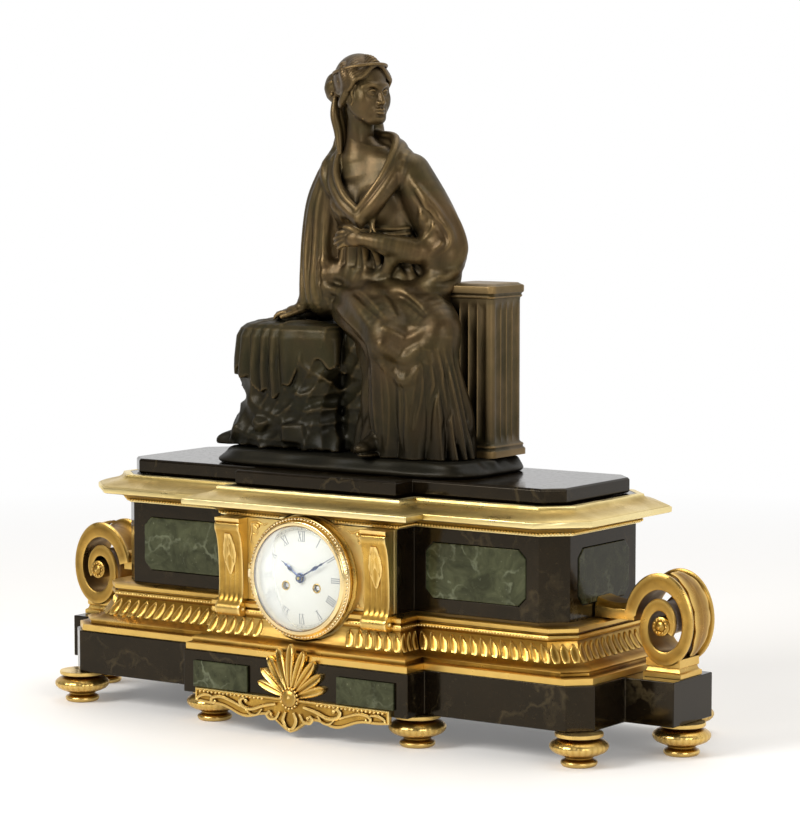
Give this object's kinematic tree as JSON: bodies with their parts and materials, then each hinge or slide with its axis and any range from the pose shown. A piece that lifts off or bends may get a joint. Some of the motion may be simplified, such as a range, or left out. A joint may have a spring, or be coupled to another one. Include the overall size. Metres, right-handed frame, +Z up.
{
  "type": "figural mantel clock",
  "caption": "Mantel clock with a seated draped bronze figure on a marble case with gilt mounts, and a hinged bezel, striking movement and short pendulum.",
  "frame": {"origin": "middle of the bounding box at the floor the feet stand on", "axes": "+Z up, -Y is the dial side, +X is to the right of someone facing the dial"},
  "size_m": [0.639, 0.2338, 0.5579],
  "materials": {
    "gilt_bronze": "mercury gilt, satin",
    "brass": "polished and lacquered",
    "steel": "polished",
    "blued_steel": "heat blued",
    "figure_bronze": "dark brown patina",
    "black_marble": "polished",
    "green_marble": "polished",
    "enamel": "fired enamel",
    "glass": "clear, domed"
  },
  "bodies": {
    "case": {"apron_mount": "gilt_bronze", "apron_panel_left": "green_marble", "apron_panel_right": "green_marble", "back_plate": "brass", "bell": "steel", "bell_post": "steel", "case_body": "black_marble", "column": "figure_bronze", "corner_console_left": "gilt_bronze", "corner_console_right": "gilt_bronze", "cornice": "gilt_bronze", "dial": "enamel", "dial_drum": "gilt_bronze", "dial_plate": "gilt_bronze", "end_panel_left": "green_marble", "end_panel_right": "green_marble", "end_volute_left": "gilt_bronze", "end_volute_right": "gilt_bronze", "figure_base": "figure_bronze", "foot_back_left": "gilt_bronze", "foot_back_right": "gilt_bronze", "foot_centre_left": "gilt_bronze", "foot_centre_right": "gilt_bronze", "foot_end_left": "gilt_bronze", "foot_end_right": "gilt_bronze", "foot_front_left": "gilt_bronze", "foot_front_right": "gilt_bronze", "front_panel_left": "green_marble", "front_panel_right": "green_marble", "front_plate": "brass", "head": "figure_bronze", "left_arm": "figure_bronze", "lower_moulding": "gilt_bronze", "plinth": "black_marble", "rear_ring": "brass", "right_arm": "figure_bronze", "seat_block": "figure_bronze", "skirt": "figure_bronze", "suspension_cock": "brass", "top_slab": "black_marble", "torso": "figure_bronze"},
    "bezel": {"bezel": "gilt_bronze", "glass": "glass"},
    "centre_arbor": {"centre_wheel": "brass", "minute_hand": "blued_steel"},
    "going_barrel": {"going_barrel": "brass"},
    "going_arbor": {"going_arbor": "steel"},
    "third_arbor": {"third_wheel": "brass"},
    "escape_arbor": {"escape_wheel": "brass"},
    "anchor": {"anchor": "steel"},
    "pendulum": {"pendulum": "steel", "pendulum_bob": "brass"},
    "minute_wheel": {"minute_wheel": "brass"},
    "hour_pipe": {"hour_wheel": "brass", "hour_hand": "blued_steel"},
    "strike_barrel": {"strike_barrel": "brass"},
    "strike_arbor": {"strike_arbor": "steel"},
    "pin_arbor": {"pin_wheel": "brass"},
    "hammer": {"hammer": "steel"},
    "rear_door": {"rear_door": "brass"}
  },
  "joints": [
    {"name": "bezel_hinge", "type": "hinge", "parent": "case", "child": "bezel", "pos_m": [-0.0525, -0.09621, 0.13], "axis": [0, 0, -1], "range_deg": [0, 95]},
    {"name": "rear_door_hinge", "type": "hinge", "parent": "case", "child": "rear_door", "pos_m": [-0.0516, 0.08229, 0.13], "axis": [0, 0, 1], "range_deg": [0, 110]},
    {"name": "centre_spin", "type": "hinge", "parent": "case", "child": "centre_arbor", "pos_m": [0, -0.05961, 0.13], "axis": [0, 1, 0], "continuous": true},
    {"name": "going_barrel_spin", "type": "hinge", "parent": "case", "child": "going_barrel", "pos_m": [0.01557, -0.05961, 0.12251], "axis": [0, 1, 0], "continuous": true},
    {"name": "third_spin", "type": "hinge", "parent": "case", "child": "third_arbor", "pos_m": [-0.00851, -0.05961, 0.14162], "axis": [0, 1, 0], "continuous": true},
    {"name": "escape_spin", "type": "hinge", "parent": "case", "child": "escape_arbor", "pos_m": [0, -0.05961, 0.14939], "axis": [0, 1, 0], "continuous": true},
    {"name": "minute_wheel_spin", "type": "hinge", "parent": "case", "child": "minute_wheel", "pos_m": [0, -0.05961, 0.14176], "axis": [0, 1, 0], "continuous": true},
    {"name": "hour_spin", "type": "hinge", "parent": "case", "child": "hour_pipe", "pos_m": [0, -0.05961, 0.13], "axis": [0, 1, 0], "continuous": true},
    {"name": "going_arbor_wind", "type": "hinge", "parent": "case", "child": "going_arbor", "pos_m": [0.01557, -0.05961, 0.12251], "axis": [0, 1, 0], "continuous": true},
    {"name": "strike_barrel_spin", "type": "hinge", "parent": "case", "child": "strike_barrel", "pos_m": [-0.01557, -0.05961, 0.12251], "axis": [0, 1, 0], "continuous": true},
    {"name": "pin_spin", "type": "hinge", "parent": "case", "child": "pin_arbor", "pos_m": [-0.02397, -0.05961, 0.13761], "axis": [0, 1, 0], "continuous": true},
    {"name": "strike_arbor_wind", "type": "hinge", "parent": "case", "child": "strike_arbor", "pos_m": [-0.01557, -0.05961, 0.12251], "axis": [0, 1, 0], "continuous": true},
    {"name": "pendulum_swing", "type": "hinge", "parent": "case", "child": "pendulum", "pos_m": [0, -0.04961, 0.16], "axis": [0, 1, 0], "range_deg": [-4, 4]},
    {"name": "anchor_swing", "type": "hinge", "parent": "case", "child": "anchor", "pos_m": [0, -0.06761, 0.16], "axis": [0, 1, 0], "range_deg": [-4.1, 4.1]},
    {"name": "hammer_lift", "type": "hinge", "parent": "case", "child": "hammer", "pos_m": [-0.03294, -0.05961, 0.12798], "axis": [0, 1, 0], "range_deg": [0, 15]}
  ],
  "couplings": [
    {"joint": "going_barrel_spin", "follows": "centre_spin", "ratio": -0.14286},
    {"joint": "third_spin", "follows": "centre_spin", "ratio": -14},
    {"joint": "escape_spin", "follows": "centre_spin", "ratio": 154},
    {"joint": "minute_wheel_spin", "follows": "centre_spin", "ratio": -0.33333},
    {"joint": "hour_spin", "follows": "centre_spin", "ratio": 0.083333},
    {"joint": "pin_spin", "follows": "strike_barrel_spin", "ratio": -7},
    {"joint": "anchor_swing", "follows": "pendulum_swing", "ratio": 1}
  ]
}
